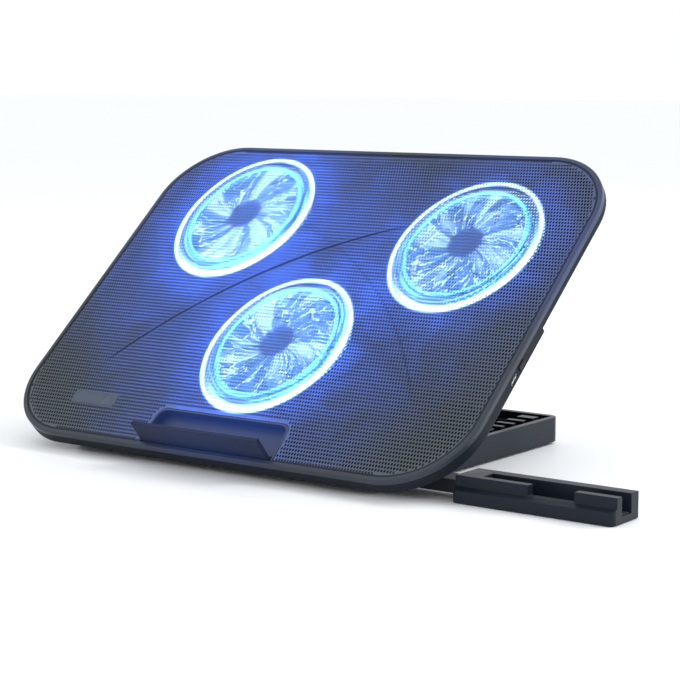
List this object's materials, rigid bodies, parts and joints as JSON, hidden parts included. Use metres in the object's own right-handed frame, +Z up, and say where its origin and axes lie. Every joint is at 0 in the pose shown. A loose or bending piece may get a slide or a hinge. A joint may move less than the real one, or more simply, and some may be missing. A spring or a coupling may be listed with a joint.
{
  "type": "laptop cooling pad",
  "caption": "Tilting laptop cooling pad with a perforated metal deck, lit round fans, a fold-up front stop, and a flat base with a slide-out phone holder.",
  "frame": {"origin": "middle of the whole object's footprint on the table, with the phone holder pulled out and the laptop stop raised", "axes": "+X along the pad's width towards the phone holder, +Y from the front edge towards the back, +Z up"},
  "size_m": [0.505, 0.2538, 0.2113],
  "materials": {
    "mesh_metal": "satin",
    "bezel_plastic": "fine matt",
    "shell_plastic": "fine matt",
    "base_plastic": "fine matt",
    "stop_plastic": "satin",
    "badge": "satin",
    "fan_plastic": "translucent",
    "frame_plastic": "glossy",
    "light_guide": "lit",
    "circuit_board": "solder mask",
    "component_black": "moulded",
    "copper_winding": "enamelled",
    "bronze": "sintered",
    "magnet": "sintered",
    "steel": "bright",
    "screw_steel": "blackened",
    "socket_shell": "bright",
    "button_plastic": "satin",
    "rubber": "matt",
    "lead_sleeve": "matt"
  },
  "bodies": {
    "base": {"base_frame": "base_plastic", "base_cover": "base_plastic", "base_feet": "rubber", "base_screws": "screw_steel", "hinge_pins": "steel", "notch_rack_left": "base_plastic", "notch_rack_right": "base_plastic"},
    "pad": {"bottom_shell": "shell_plastic", "top_bezel": "bezel_plastic", "mesh_panel": "mesh_metal", "badge_plate": "badge", "pad_screws": "screw_steel", "fan_frame_left": "frame_plastic", "fan_frame_front": "frame_plastic", "fan_frame_right": "frame_plastic", "led_board_left": "circuit_board", "led_board_front": "circuit_board", "led_board_right": "circuit_board", "light_ring_left": "light_guide", "light_ring_front": "light_guide", "light_ring_right": "light_guide", "motor_stator_left": "copper_winding", "motor_stator_front": "copper_winding", "motor_stator_right": "copper_winding", "shaft_bush_left": "bronze", "shaft_bush_front": "bronze", "shaft_bush_right": "bronze", "fan_leads": "lead_sleeve", "stop_pin": "steel", "control_board": "circuit_board", "power_socket": "socket_shell", "button_switch": "component_black", "strut_pins": "steel"},
    "laptop_stop": {"laptop_stop": "stop_plastic"},
    "support_strut": {"support_strut": "base_plastic"},
    "light_button": {"light_button": "button_plastic"},
    "phone_holder": {"phone_holder": "base_plastic", "slide_arm": "base_plastic", "slot_liner": "rubber", "holder_feet": "rubber"},
    "rotor_left": {"fan_rotor_left": "fan_plastic", "rotor_magnet_left": "magnet", "rotor_shaft_left": "steel"},
    "rotor_front": {"fan_rotor_front": "fan_plastic", "rotor_magnet_front": "magnet", "rotor_shaft_front": "steel"},
    "rotor_right": {"fan_rotor_right": "fan_plastic", "rotor_magnet_right": "magnet", "rotor_shaft_right": "steel"}
  },
  "joints": [
    {"name": "pad_tilt", "type": "hinge", "parent": "base", "child": "pad", "pos_m": [-0.0525, -0.09019, 0.0162], "axis": [1, 0, 0], "range_deg": [-40.8, 0]},
    {"name": "strut_fold", "type": "hinge", "parent": "pad", "child": "support_strut", "pos_m": [-0.0525, -0.01555, 0.08063], "axis": [1, 0, 0], "range_deg": [0, 81.6]},
    {"name": "stop_fold", "type": "hinge", "parent": "pad", "child": "laptop_stop", "pos_m": [-0.0525, -0.11152, 0.01548], "axis": [1, 0, 0], "range_deg": [-88, 0]},
    {"name": "button_press", "type": "slide", "parent": "pad", "child": "light_button", "axis": [-1, 0, 0], "range_m": [0, 0.0006], "stiffness_N_per_m": 400},
    {"name": "holder_slide", "type": "slide", "parent": "base", "child": "phone_holder", "axis": [1, 0, 0], "range_m": [-0.108, 0]},
    {"name": "fan_spin_left", "type": "hinge", "parent": "pad", "child": "rotor_left", "pos_m": [-0.1535, 0.05745, 0.15764], "axis": [0, -0.6534, 0.757], "continuous": true},
    {"name": "fan_spin_front", "type": "hinge", "parent": "pad", "child": "rotor_front", "pos_m": [-0.0485, -0.03566, 0.07727], "axis": [0, -0.6534, 0.757], "continuous": true},
    {"name": "fan_spin_right", "type": "hinge", "parent": "pad", "child": "rotor_right", "pos_m": [0.0575, 0.04534, 0.14718], "axis": [0, -0.6534, 0.757], "continuous": true}
  ],
  "couplings": [
    {"joint": "strut_fold", "follows": "pad_tilt", "ratio": -2}
  ]
}
